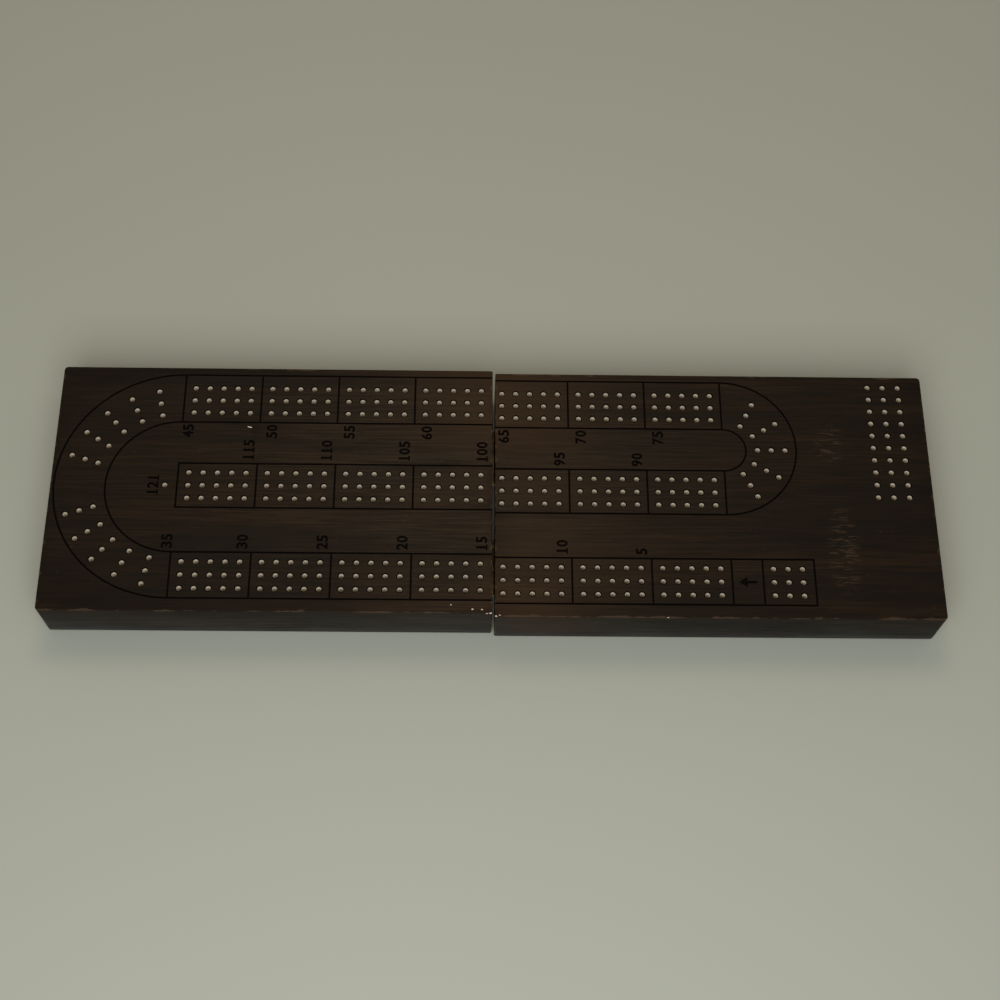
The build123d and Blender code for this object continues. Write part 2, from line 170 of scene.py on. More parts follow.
world = bpy.data.worlds.new("room")
scene.world = world
world.use_nodes = True
tree = world.node_tree
tree.nodes.clear()
rays = add_node(tree, "LightPath", {}).outputs
seen = add_node(tree, "Background", {"Color": pale_ground, "Strength": backdrop_level}).outputs[0]
fill = add_node(tree, "Background", {"Color": fill_colour, "Strength": fill_level}).outputs[0]
camera_or_mirror = math_node(tree, "MAXIMUM", rays["Is Camera Ray"], rays["Is Glossy Ray"])
add_node(tree, "OutputWorld", {"Surface": shader_mix(tree, camera_or_mirror, fill, seen)})
print("world", world.name, "with", len(tree.nodes), "nodes")

# %% [markdown]
# ## Floor
#
# The floor is a plain pale sheet with the faintest mottling. Its back is see-through, and so is all of
# it to shadow rays, to light that has bounced off something matt, and to mirror rays that meet it
# within a few millimetres. So light reaches the underside of the box, which can be looked at from
# below. Camera rays from above still meet a solid floor, which keeps the box's shadow. Far from the
# box, beyond the lamps' reach, the sheet fades into the backdrop's own colour, so that no dark horizon
# shows. It is the first piece with a material, so the helpers for both come first.

# %% Piece and material helpers


def finish_piece(name, bm, *materials):
    """Turn a bmesh into a scene object, with its place in its mesh."""
    mesh = bpy.data.meshes.new(name)
    bm.to_mesh(mesh)
    bm.free()
    for material in materials:
        mesh.materials.append(material)
    piece = bpy.data.objects.new(name, mesh)
    scene.collection.objects.link(piece)
    return piece


def new_material(name, roughness, gloss=0.5):
    """A material, its node tree and its Principled shader."""
    material = bpy.data.materials.new(name)
    material.use_nodes = True
    shader = material.node_tree.nodes["Principled BSDF"]
    shader.inputs["Roughness"].default_value = roughness
    shader.inputs["Specular IOR Level"].default_value = gloss
    return material, material.node_tree, shader


def object_point(tree):
    """The shaded point in the piece's own frame."""
    return add_node(tree, "TexCoord", {}).outputs["Object"]


def vector_math(tree, operation, *vectors):
    """The outputs of a Vector Math node."""
    return add_node(tree, "VectorMath", dict(enumerate(vectors)), operation=operation).outputs


def scaled(tree, vector, factors):
    """A vector multiplied part by part."""
    return vector_math(tree, "MULTIPLY", vector, factors)["Vector"]


def noise_node(tree, vector, detail, roughness=0.5, distortion=0.0, scale=1.0):
    """Noise read at a vector."""
    inputs = {"Vector": vector, "Scale": scale, "Detail": detail, "Roughness": roughness}
    return add_node(tree, "TexNoise", {**inputs, "Distortion": distortion}).outputs["Fac"]


def ramp(tree, value, low, high, to_low=0.0, to_high=1.0):
    """A smooth ramp of a value between low and high."""
    inputs = {"Value": value, "From Min": low, "From Max": high, "To Min": to_low, "To Max": to_high}
    return add_node(tree, "MapRange", inputs, interpolation_type="SMOOTHSTEP").outputs["Result"]


def mixed(tree, factor, first, second):
    """A colour mix; factor, first and second are plain values or sockets."""
    node = add_node(tree, "Mix", {}, data_type="RGBA")
    used = [socket for socket in node.inputs if socket.enabled]
    for socket, given in zip(used, (factor, first, second)):
        feed(tree, given, socket)
    return [socket for socket in node.outputs if socket.enabled][0]


print("material helpers ready")

# %% Floor
floor_size = 3
mottle_depth = 0.96
near_floor = 6 * mm
fade_start = 0.45
fade_end = 1.3

floor_material, tree, shader = new_material("floor", roughness=0.85, gloss=0.2)
mottle = noise_node(tree, object_point(tree), detail=2, scale=3.0)
floor_colour = mixed(tree, mottle, pale_ground, [v * mottle_depth for v in pale_ground])
tree.links.new(floor_colour, shader.inputs["Base Color"])

fade = ramp(tree, vector_math(tree, "LENGTH", object_point(tree))["Value"], fade_start, fade_end)
glow = add_node(tree, "Emission", {"Color": pale_ground, "Strength": backdrop_level}).outputs["Emission"]
sheet = shader_mix(tree, fade, shader.outputs["BSDF"], glow)

rays = add_node(tree, "LightPath", {}).outputs
back_side = add_node(tree, "NewGeometry", {}).outputs["Backfacing"]
bounced = math_node(tree, "MAXIMUM", rays["Is Diffuse Ray"], rays["Is Shadow Ray"])
passed = math_node(tree, "MAXIMUM", back_side, bounced)
near = math_node(tree, "LESS_THAN", rays["Ray Length"], near_floor)
mirrored_near = math_node(tree, "MULTIPLY", rays["Is Glossy Ray"], near)
passed = math_node(tree, "MAXIMUM", passed, mirrored_near)
see_through = add_node(tree, "BsdfTransparent", {}).outputs["BSDF"]
tree.links.new(shader_mix(tree, passed, sheet, see_through), tree.nodes["Material Output"].inputs["Surface"])

bm = bmesh.new()
bmesh.ops.create_grid(bm, x_segments=1, y_segments=1, size=floor_size)
floor = finish_piece("floor", bm, floor_material)
print("floor", round(floor.dimensions.x, 1), "m across")

# %% [markdown]
# ## The track, worked out from its pitches
#
# The board carries 400 holes. They come from a drilling pattern: groups of five holes in three lanes,
# two bends, a start block and a tally of games won. The same few pitches that made the frame give
# every place here, so the finished wood meets the frame's holes.

# %% Pitches and rows
lanes = 3
group_size = 5
left_groups = 4
right_groups = 3
hole_pitch = 6.05 * mm
group_gap = 9.04 * mm
lane_pitch = 5.92 * mm
group_run = (group_size - 1) * hole_pitch
group_pitch = group_run + group_gap
right_run = (right_groups - 1) * group_pitch + group_run
outer_lane_y = 46.55 * mm
return_row_y = 6.05 * mm
near_row_y = (lanes - 1) * lane_pitch - outer_lane_y
return_outer_y = return_row_y - (lanes - 1) * lane_pitch

left_low, left_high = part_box("left_half")
right_low, right_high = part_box("right_half")
left_y = (left_low.y + left_high.y) / 2
right_y = (right_low.y + right_high.y) / 2
top_z = left_high.z
underside_z = left_low.z
end_x = right_high.x
half_width = (right_high.y - right_low.y) / 2

left_last_x = -5.5 * mm
left_first_x = left_last_x - (left_groups - 1) * group_pitch - group_run
right_first_x = 3.4 * mm
near_first_x = 3.9 * mm
print("group pitch", round(group_pitch / mm, 2), "mm, top at", round(top_z / mm, 2), "mm")

# %% Patterns of holes


def straight_row(first_x, first_y, groups):
    """Holes of a straight, from its leftmost column and farthest lane."""
    return [
        (first_x + group * group_pitch + place * hole_pitch, first_y - lane * lane_pitch)
        for group in range(groups)
        for place in range(group_size)
        for lane in range(lanes)
    ]


def bend(centre_x, centre_y, outer_radius, angles):
    """Holes of a bend, in columns at angles clockwise from +Y."""
    return [
        (
            centre_x + (outer_radius - lane * lane_pitch) * math.sin(math.radians(angle)),
            centre_y + (outer_radius - lane * lane_pitch) * math.cos(math.radians(angle)),
        )
        for angle in angles
        for lane in range(lanes)
    ]


def block(first_x, first_y, columns, rows, column_pitch, row_pitch):
    """A plain grid of holes, running +X and -Y from its first hole."""
    return [
        (first_x + column * column_pitch, first_y - row * row_pitch)
        for column in range(columns)
        for row in range(rows)
    ]


print("one group has", len(straight_row(0, 0, 1)), "holes")

# %% Left half's holes
left_bend_x = left_first_x - 6.65 * mm
left_bend_radius = outer_lane_y - 0.95 * mm
first_angle = 11.4
angle_step = 15.25
finish_x = left_first_x - 9.7 * mm
finish_y = return_row_y - lane_pitch
quarter = [first_angle + angle_step * k for k in range(group_size)]
left_angles = [180 + angle for angle in quarter] + [360 - angle for angle in quarter]
left_holes = (
    straight_row(left_first_x, outer_lane_y, left_groups)
    + straight_row(left_first_x, return_row_y, left_groups)
    + straight_row(left_first_x, near_row_y, left_groups)
    + bend(left_bend_x, 0, left_bend_radius, left_angles)
    + [(finish_x, finish_y)]
)
print("left half:", len(left_holes), "holes")

# %% Right half's holes
right_bend_x = right_first_x + right_run + 6.45 * mm
right_bend_y = (outer_lane_y + return_outer_y) / 2
right_bend_radius = (outer_lane_y - return_outer_y) / 2 - 1.35 * mm
right_angle_step = 30.9
right_angles = [90 + right_angle_step * (k - 2) for k in range(group_size)]
start_x = near_first_x + right_run + 22.0 * mm
start_columns = 3
tally_columns = 3
tally_rows = 10
tally_pitch = (6.65 * mm, 5.87 * mm)
tally_x = end_x - 10.3 * mm - (tally_columns - 1) * tally_pitch[0]
tally_y = half_width - 5.25 * mm
right_holes = (
    straight_row(right_first_x, outer_lane_y, right_groups)
    + straight_row(right_first_x, return_row_y, right_groups)
    + straight_row(near_first_x, near_row_y, right_groups)
    + bend(right_bend_x, right_bend_y, right_bend_radius, right_angles)
    + block(start_x, near_row_y, start_columns, lanes, hole_pitch, lane_pitch)
    + block(tally_x, tally_y, tally_columns, tally_rows, *tally_pitch)
)
print("right half:", len(right_holes), "holes")

# %% [markdown]
# ## Shared finishes as node groups
#
# Three effects come back in several materials, so each is a shader node group: wood grain, the wear
# that follows a block's edges, and the unevenness that handling leaves. A group puts out masks only,
# and each material decides what they do.
#
# The fibre runs along X in both halves and in the drawer. Noise stretched along X gives long streaks
# on the faces, and the same noise cut across shows dots on the end faces, as end grain should. Short
# dark pores lie between the streaks. The stretch is a scale for each axis, in cycles a metre.

# %% Grain group
vector_socket = "NodeSocketVector"
float_socket = "NodeSocketFloat"
streak_scale = (38, 1400, 1400)
band_scale = (6, 75, 75)
finer_than_streaks = (2.6, 1.5, 1.5)


def new_group(name, inputs, outputs):
    """A node group, what it is given and its result; inputs map a name to a socket type and a value."""
    tree = bpy.data.node_groups.new(name, "ShaderNodeTree")
    for socket_name, (kind, value) in inputs.items():
        socket = tree.interface.new_socket(socket_name, in_out="INPUT", socket_type=kind)
        socket.default_value = value
    for socket_name in outputs:
        tree.interface.new_socket(socket_name, in_out="OUTPUT", socket_type=float_socket)
    return tree, tree.nodes.new("NodeGroupInput").outputs, tree.nodes.new("NodeGroupOutput").inputs


grain_inputs = {"Streaks": (vector_socket, streak_scale), "Bands": (vector_socket, band_scale)}
grain_group, given, result = new_group("wood_grain", grain_inputs, ["Streak", "Band", "Pore"])
point = object_point(grain_group)
streak_point = scaled(grain_group, point, given["Streaks"])
band_point = scaled(grain_group, point, given["Bands"])
pore_point = scaled(grain_group, streak_point, finer_than_streaks)
streak = noise_node(grain_group, streak_point, detail=4, roughness=0.62)
band = noise_node(grain_group, band_point, detail=3, roughness=0.55, distortion=0.6)
pore = noise_node(grain_group, pore_point, detail=2)
feed(grain_group, ramp(grain_group, streak, 0.32, 0.68), result["Streak"])
feed(grain_group, ramp(grain_group, band, 0.32, 0.68), result["Band"])
feed(grain_group, ramp(grain_group, pore, 0.60, 0.72), result["Pore"])
print("group", grain_group.name)

# %% [markdown]
# ### Edge wear
#
# Every wooden block here is a box, and the stain rubs off along its edges. A Geometry node's
# pointiness would need fine meshes and is lost in an export. A point on a box's skin has three
# distances to the box's sides, and the middle one is its distance to the nearest edge, so plain
# arithmetic on Object coordinates gives a mask that works at any mesh density. Patches of noise let
# the wear reach further in some places than in others.

# %% Edge wear group
patch_scale = (80, 240, 240)
least_reach = 0.1
most_reach = 1.6


def parts_of(tree, vector):
    """The three parts of a vector."""
    return add_node(tree, "SeparateXYZ", {"Vector": vector}).outputs


wear_inputs = {
    "Low": (vector_socket, (-1, -1, -1)),
    "High": (vector_socket, (1, 1, 1)),
    "Width": (float_socket, 1.2 * mm),
}
wear_group, given, result = new_group("edge_wear", wear_inputs, ["Wear"])
point = object_point(wear_group)
distances = []
for here, low, high in zip(*(parts_of(wear_group, v) for v in (point, given["Low"], given["High"]))):
    from_low = math_node(wear_group, "SUBTRACT", here, low)
    from_high = math_node(wear_group, "SUBTRACT", high, here)
    distances.append(math_node(wear_group, "MINIMUM", from_low, from_high))
smaller = math_node(wear_group, "MINIMUM", distances[0], distances[1])
larger = math_node(wear_group, "MAXIMUM", distances[0], distances[1])
rest_of = math_node(wear_group, "MINIMUM", larger, distances[2])
edge_distance = math_node(wear_group, "MAXIMUM", smaller, rest_of)
patch = noise_node(wear_group, scaled(wear_group, point, patch_scale), detail=5, roughness=0.68)
uneven = ramp(wear_group, patch, 0.45, 0.72, least_reach, most_reach)
reach = math_node(wear_group, "MULTIPLY", given["Width"], uneven)
share = math_node(wear_group, "DIVIDE", edge_distance, reach)
feed(wear_group, ramp(wear_group, share, 0.35, 1.0, 1.0, 0.0), result["Wear"])
print("group", wear_group.name)

# %% [markdown]
# ### Handling
#
# Hands leave a lacquered board uneven: broad dull and shiny areas, and a scatter of tiny pale flecks.
# Both are noise, one large and one small, with a size that each material sets.

# %% Handling group
area_scale = (14, 24, 24)
fleck_scale = (420, 700, 700)

handling_inputs = {"Areas": (vector_socket, area_scale), "Flecks": (vector_socket, fleck_scale)}
handling_group, given, result = new_group("handling", handling_inputs, ["Area", "Fleck"])
point = object_point(handling_group)
area = noise_node(handling_group, scaled(handling_group, point, given["Areas"]), detail=4, roughness=0.6)
fleck = noise_node(handling_group, scaled(handling_group, point, given["Flecks"]), detail=2)
feed(handling_group, ramp(handling_group, area, 0.36, 0.64), result["Area"])
feed(handling_group, ramp(handling_group, fleck, 0.70, 0.80), result["Fleck"])
print("group", handling_group.name)

# %% [markdown]
# ## Stained wood
#
# The stain is built up as on the real block: a dark brown ground, warmer where the fibre took less
# colour, darker in the pores, and paler where the edges have rubbed through. The colour is also painted
# lighter towards the seam. This is a painted sheen that stands in for the lamp's reflection on the middle
# of the board. Satin lacquer lies on top, so its roughness changes slowly with the handling. The relief is
# slight, because lacquer fills most of the grain. On the right half, two patches are scuffed dry: short
# dashes of noise along the grain, inside an oval.

# %% Washes, relief and scuffs
rubbed_wood = (0.085, 0.055, 0.034)
dash_scale = (170, 1150, 300)
dash_strength = 0.36


def group_node(tree, group, **values):
    """The outputs of a group placed in a material, with its own values."""
    return add_node(tree, "Group", values, node_tree=group).outputs


def washed(tree, colour, tone, mask, share):
    """A colour with a tone laid over it where a mask shows, at a share of its strength."""
    return mixed(tree, math_node(tree, "MULTIPLY", mask, share), colour, tone)


def bumped(tree, shader, height, strength, distance):
    """Feed a height into the shader's normal."""
    bump = add_node(tree, "Bump", {"Height": height, "Strength": strength, "Distance": distance})
    tree.links.new(bump.outputs["Normal"], shader.inputs["Normal"])


def scuffed(tree, colour, centre, reach):
    """A colour with short dry scratches along the grain, in an oval round a centre."""
    point = object_point(tree)
    away = vector_math(tree, "SUBTRACT", point, centre)["Vector"]
    distance = vector_math(tree, "LENGTH", scaled(tree, away, [1 / v for v in reach]))["Value"]
    inside = ramp(tree, distance, 0.55, 1.05, 1.0, 0.0)
    dashes = noise_node(tree, scaled(tree, point, dash_scale), detail=3, roughness=0.6, distortion=0.4)
    return washed(tree, colour, rubbed_wood, inside, ramp(tree, dashes, 0.52, 0.64, 0.0, dash_strength))


print("scuffs rub through to", rubbed_wood)

# %% Stained wood
stain_ground = (0.0076, 0.0047, 0.0028)
stain_warm = (0.0185, 0.0094, 0.0044)
stain_deep = (0.0034, 0.0022, 0.0015)
# The next colour is the painted sheen, a lighter brown laid over the stain towards the seam.
painted_sheen_colour = (0.044, 0.0235, 0.0115)
streak_share = 0.7
pore_share = 0.7
fleck_share = 0.2
wear_share = 0.42
# How strongly the painted sheen shows at the seam, and how far from the seam it reaches.
painted_sheen_share = 0.5
painted_sheen_reach = 80 * mm
lacquer_roughness = 0.34
lacquer_variation = 0.10


def stained_wood(name, low, high, wear_width, *scuffs):
    """Espresso stain under satin lacquer, rubbed along the edges of the box low to high."""
    material, tree, shader = new_material(name, lacquer_roughness, gloss=0.1)
    grain = group_node(tree, grain_group)
    edge = group_node(tree, wear_group, Low=low, High=high, Width=wear_width)
    handling = group_node(tree, handling_group)
    colour = mixed(tree, grain["Band"], stain_ground, stain_warm)
    colour = washed(tree, colour, stain_deep, grain["Streak"], streak_share)
    colour = washed(tree, colour, stain_deep, grain["Pore"], pore_share)
    # Painted sheen: the colour is painted lighter towards the seam, in place of the lamp's reflection on the
    # middle of the board.
    from_seam = math_node(tree, "ABSOLUTE", parts_of(tree, object_point(tree))["X"])
    painted_sheen_mask = ramp(tree, from_seam, 0, painted_sheen_reach, painted_sheen_share, 0.0)
    colour = washed(tree, colour, painted_sheen_colour, painted_sheen_mask, handling["Area"])
    colour = washed(tree, colour, rubbed_wood, handling["Fleck"], fleck_share)
    for centre, reach in scuffs:
        colour = scuffed(tree, colour, centre, reach)
    colour = washed(tree, colour, rubbed_wood, edge["Wear"], wear_share)
    tree.links.new(colour, shader.inputs["Base Color"])
    rough = math_node(tree, "MULTIPLY_ADD", grain["Streak"], lacquer_variation, lacquer_roughness)
    rough = math_node(tree, "MULTIPLY_ADD", handling["Area"], lacquer_variation, rough)
    tree.links.new(rough, shader.inputs["Roughness"])
    relief = math_node(tree, "SUBTRACT", grain["Streak"], grain["Pore"])
    bumped(tree, shader, relief, strength=0.22, distance=0.06 * mm)
    return material


board_wear = 1.2 * mm
right_scuffs = [
    ((147.0 * mm, -27.0 * mm, top_z), (8.0 * mm, 22.0 * mm, 3.0 * mm)),
    ((144.5 * mm, 24.0 * mm, top_z), (7.0 * mm, 12.0 * mm, 3.0 * mm)),
]
left_stain = stained_wood("left_stain", left_low, left_high, board_wear)
right_stain = stained_wood("right_stain", right_low, right_high, board_wear, *right_scuffs)
print("stained wood for", left_stain.name, "and", right_stain.name)

# %% [markdown]
# ## Bare, burnt and drawer wood
#
# Inside the holes and pockets the wood is as it came from the mill. Burnt wood is almost black and
# quite dull, so that it reads on the stain as much by its lack of shine as by its colour. The drawer's
# walls are a warmer, lightly sanded wood. One function makes all three from the same grain.

# %% Plain woods
band_share = 0.5
soiled_share = 0.2
fibre_roughness = 0.12


def plain_wood(name, light, dark, roughness, gloss):
    """Unfinished wood between two colours."""
    material, tree, shader = new_material(name, roughness, gloss)
    grain = group_node(tree, grain_group)
    handling = group_node(tree, handling_group)
    colour = mixed(tree, grain["Streak"], light, dark)
    colour = washed(tree, colour, dark, grain["Band"], band_share)
    colour = washed(tree, colour, dark, handling["Area"], soiled_share)
    tree.links.new(colour, shader.inputs["Base Color"])
    rough = math_node(tree, "MULTIPLY_ADD", grain["Streak"], fibre_roughness, roughness)
    tree.links.new(rough, shader.inputs["Roughness"])
    bumped(tree, shader, grain["Streak"], strength=0.3, distance=0.08 * mm)
    return material


bare_wood = plain_wood("bare_wood", (0.74, 0.68, 0.59), (0.62, 0.555, 0.46), roughness=0.65, gloss=0.3)
burnt_wood = plain_wood(
    "burnt_wood", (0.0036, 0.0022, 0.0018), (0.002, 0.0014, 0.0012), roughness=0.85, gloss=0.04
)
drawer_wood = plain_wood("drawer_wood", (0.56, 0.42, 0.27), (0.41, 0.28, 0.165), roughness=0.5, gloss=0.35)
print("plain woods:", bare_wood.name, burnt_wood.name, drawer_wood.name)

# %% [markdown]
# ## Drill wakes
#
# Everything milled, drilled or burnt into a half is the wake of a cutter. Each kind of cut is modelled
# as a solid of its own, and all are taken away from the block in one boolean. The faces that a cutter
# leaves keep the cutter's material, which is how bare wood gets into the holes by itself. One drill
# wake is a short profile spun round, and it is copied to each place.

# %% Drill wakes
hole_radius = 1.1 * mm
hole_depth = 6.0 * mm
hole_point = 0.35 * mm
hole_sides = 16
rim_width = 0.42 * mm
above = 0.5 * mm
same_place = 0.001 * mm


def verts_in(geometry):
    """The vertices among the geometry that a bmesh operator returns."""
    return [v for v in geometry if isinstance(v, bmesh.types.BMVert)]


def spun_solid(profile, steps):
    """A bmesh with the closed solid of revolution of (radius, height) points about Z."""
    bm = bmesh.new()
    verts = [bm.verts.new((radius, 0, height)) for radius, height in profile]
    edges = [bm.edges.new(pair) for pair in zip(verts, verts[1:])]
    bmesh.ops.spin(
        bm, geom=verts + edges, cent=(0, 0, 0), axis=(0, 0, 1), angle=math.tau, steps=steps, use_merge=True
    )
    bmesh.ops.remove_doubles(bm, verts=bm.verts, dist=same_place)
    bmesh.ops.recalc_face_normals(bm, faces=bm.faces)
    return bm


def copied_to(bm, places):
    """Replace what a bmesh holds by one copy of it at each place."""
    first = list(bm.verts) + list(bm.edges) + list(bm.faces)
    for place in places:
        copied = bmesh.ops.duplicate(bm, geom=first)["geom"]
        bmesh.ops.translate(bm, verts=verts_in(copied), vec=place)
    bmesh.ops.delete(bm, geom=verts_in(first), context="VERTS")
    return bm


def drill_wakes(name, holes, middle_y):
    """Wakes with a scorched flare over a bare wall and a drill point."""
    profile = [
        (0, -hole_depth - hole_point),
        (hole_radius, -hole_depth),
        (hole_radius, -rim_width),
        (hole_radius + rim_width + above, above),
        (0, above),
    ]
    bm = spun_solid(profile, hole_sides)
    for face in bm.faces:
        face.material_index = 1 if face.calc_center_median().z > -rim_width else 0
    copied_to(bm, [(x, y + middle_y, top_z) for x, y in holes])
    return finish_piece(name, bm, bare_wood, burnt_wood)


left_drill = drill_wakes("left_drill", left_holes, left_y)
right_drill = drill_wakes("right_drill", right_holes, right_y)
print("drill wakes:", len(left_drill.data.polygons) + len(right_drill.data.polygons), "faces")

# %% [markdown]
# ## Burnt outlines
#
# The outlines are grooves of one width. A straight groove is a box, and grooves that cross are kept in
# separate cutters of slightly different depth, so that no two cutter faces lie in one plane, which is
# what booleans like least. A bend is a small upright rectangle spun half way round the bend's centre.
#
# The far and near straights are framed by pairs of long lines, the row home lies between two more, and
# short lines part the groups of five. All long lines run out through the seam, as they do on the real
# board, whose halves were engraved as one.

# %% Groove helpers
line_width = 0.8 * mm
line_depth = 0.45 * mm
cross_depth = line_depth - 0.04 * mm
bend_depth = line_depth - 0.02 * mm
bend_steps = 48


def add_box(bm, low, high):
    """Add a box between two corners."""
    low, high = Vector(low), Vector(high)
    place = Matrix.Translation((low + high) / 2) @ Matrix.Diagonal((*(high - low), 1))
    bmesh.ops.create_cube(bm, size=1, matrix=place)


def straight_grooves(name, lines, middle_y, depth):
    """One cutter of straight grooves that don't meet, from (x1, y1, x2, y2) middle lines."""
    bm = bmesh.new()
    half = line_width / 2
    for x1, y1, x2, y2 in lines:
        low = (min(x1, x2) - half, min(y1, y2) - half + middle_y, top_z - depth)
        high = (max(x1, x2) + half, max(y1, y2) + half + middle_y, top_z + above + depth)
        add_box(bm, low, high)
    bmesh.ops.recalc_face_normals(bm, faces=bm.faces)
    return finish_piece(name, bm, burnt_wood)


def bend_groove(name, x, far_y, near_y, middle_y, turn):
    """Half a ring from a far line round to a near one; turn is 1 for the left end and -1 for the right."""
    bm = bmesh.new()
    half = line_width / 2
    over = above + bend_depth
    centre_y = (far_y + near_y) / 2 + middle_y
    radius = (far_y - near_y) / 2
    corners = [(-half, -bend_depth), (half, -bend_depth), (half, over), (-half, over)]
    verts = [bm.verts.new((x, centre_y + radius + across, top_z + up)) for across, up in corners]
    bmesh.ops.spin(
        bm, geom=[bm.faces.new(verts)], cent=(x, centre_y, 0), axis=(0, 0, 1), angle=turn * math.pi,
        steps=bend_steps, use_merge=False,
    )
    bmesh.ops.recalc_face_normals(bm, faces=bm.faces)
    return finish_piece(name, bm, burnt_wood)


def outlines(side, long_lines, cross_lines, bend_x, outer, inner, middle_y, turn):
    """The groove cutters of a half; outer and inner are the far and near lines that its bends join."""
    print(side, "outlines:", len(long_lines), "long and", len(cross_lines), "short lines")
    return [
        straight_grooves(side + "_long_lines", long_lines, middle_y, line_depth),
        straight_grooves(side + "_cross_lines", cross_lines, middle_y, cross_depth),
        bend_groove(side + "_outer_bend", bend_x, *outer, middle_y, turn),
        bend_groove(side + "_inner_bend", bend_x, *inner, middle_y, turn),
    ]


print("grooves", round(line_width / mm, 2), "mm wide")

# %% Outlines of both halves
far_line_y = 53.0 * mm
far_inner_y = 30.1 * mm
return_top_y = 10.4 * mm
return_low_y = -10.1 * mm
near_inner_y = -30.4 * mm
near_line_y = -50.8 * mm
past_seam = 2 * mm
start_wall_x = 112.1 * mm
start_end_x = 133.7 * mm

left_dividers = [left_first_x - group_gap / 2 + k * group_pitch for k in range(left_groups)]
right_dividers = [right_first_x - group_gap / 2 + k * group_pitch for k in (1, 2, 3)]
near_dividers = [near_first_x - group_gap / 2 + k * group_pitch for k in (1, 2, 3)]
left_end_x = left_dividers[0]
right_end_x = right_dividers[-1]
far_pair = (far_inner_y, far_line_y)
return_pair = (return_low_y, return_top_y)
near_pair = (near_line_y, near_inner_y)

left_long = [
    (left_end_x, y, past_seam, y)
    for y in (far_line_y, far_inner_y, return_top_y, return_low_y, near_inner_y, near_line_y)
]
left_cross = [(x, y1, x, y2) for x in left_dividers for y1, y2 in (far_pair, return_pair, near_pair)]
right_long = [
    (-past_seam, y, right_end_x, y) for y in (far_line_y, far_inner_y, return_top_y, return_low_y)
] + [(-past_seam, y, start_end_x, y) for y in (near_inner_y, near_line_y)]
right_cross = [
    (x, y1, x, y2)
    for dividers, (y1, y2) in (
        (right_dividers, far_pair),
        (right_dividers, return_pair),
        (near_dividers + [start_wall_x, start_end_x], near_pair),
    )
    for x in dividers
]
left_outlines = outlines(
    "left", left_long, left_cross, left_end_x,
    (far_line_y, near_line_y), (far_inner_y, near_inner_y), left_y, 1,
)
right_outlines = outlines(
    "right", right_long, right_cross, right_end_x,
    (far_line_y, return_low_y), (far_inner_y, return_top_y), right_y, -1,
)

# %% [markdown]
# ## Burnt numbers
#
# The numbers count the holes by fives and read from the left end of the board, so they stand turned a
# quarter left. Each digit is a text object made into a mesh, measured, set into a cell of fixed width
# and pushed down into the wood. The engraver's "1" stands on a foot, which the built-in font lacks,
# so a bar is added under it. The bars overlap their digits, and so they are a cutter of their own.

# %% Digit cutters
digit_height = 4.75 * mm
digit_width = 3.0 * mm
digit_cell = 3.35 * mm
digit_depth = 0.42 * mm
digit_weight = 0.03
font_merge = 1e-5


def evaluated_mesh(piece):
    """A plain mesh of an object as it looks with its modifiers or its text."""
    bpy.context.view_layer.update()
    return bpy.data.meshes.new_from_object(piece.evaluated_get(bpy.context.evaluated_depsgraph_get()))


def extruded(bm, height):
    """Extrude every face of a bmesh straight up into a closed solid."""
    raised = bmesh.ops.extrude_face_region(bm, geom=list(bm.faces))["geom"]
    bmesh.ops.translate(bm, verts=verts_in(raised), vec=(0, 0, height))
    bmesh.ops.recalc_face_normals(bm, faces=bm.faces)
    return bm


def flat_digit(digit):
    """A bmesh of one digit's face, its size in the font's own units."""
    curve = bpy.data.curves.new("digit", "FONT")
    curve.body = digit
    curve.resolution_u = 3
    curve.offset = digit_weight
    writing = bpy.data.objects.new("digit", curve)
    scene.collection.objects.link(writing)
    flat = evaluated_mesh(writing)
    bpy.data.objects.remove(writing)
    bm = bmesh.new()
    bm.from_mesh(flat)
    bmesh.ops.remove_doubles(bm, verts=bm.verts, dist=font_merge)
    bpy.data.meshes.remove(flat)
    return bm


def digit_solid(digit):
    """A mesh of one digit as a cutter, reading along +Y and centred on the Z axis."""
    bm = flat_digit(digit)
    xs = [v.co.x for v in bm.verts]
    ys = [v.co.y for v in bm.verts]
    tall = digit_height / (max(ys) - min(ys))
    wide = tall if digit == "1" else digit_width / (max(xs) - min(xs))
    middle = Vector(((max(xs) + min(xs)) / 2, (max(ys) + min(ys)) / 2, 0))
    place = (
        Matrix.Translation((0, 0, top_z - digit_depth))
        @ Matrix.Rotation(math.pi / 2, 4, "Z")
        @ Matrix.Diagonal((wide, tall, 1, 1))
        @ Matrix.Translation(-middle)
    )
    bmesh.ops.transform(bm, matrix=place, verts=bm.verts)
    mesh = bpy.data.meshes.new("digit_" + digit)
    extruded(bm, digit_depth + 2 * above).to_mesh(mesh)
    bm.free()
    return mesh


digit_solids = {digit: digit_solid(digit) for digit in "012345679"}
print("digits cut:", "".join(digit_solids))

# %% Number cutters
foot_width = 2.5 * mm
foot_thickness = 0.62 * mm
foot_depth = digit_depth * 0.9
foot_overlap = 0.02 * mm


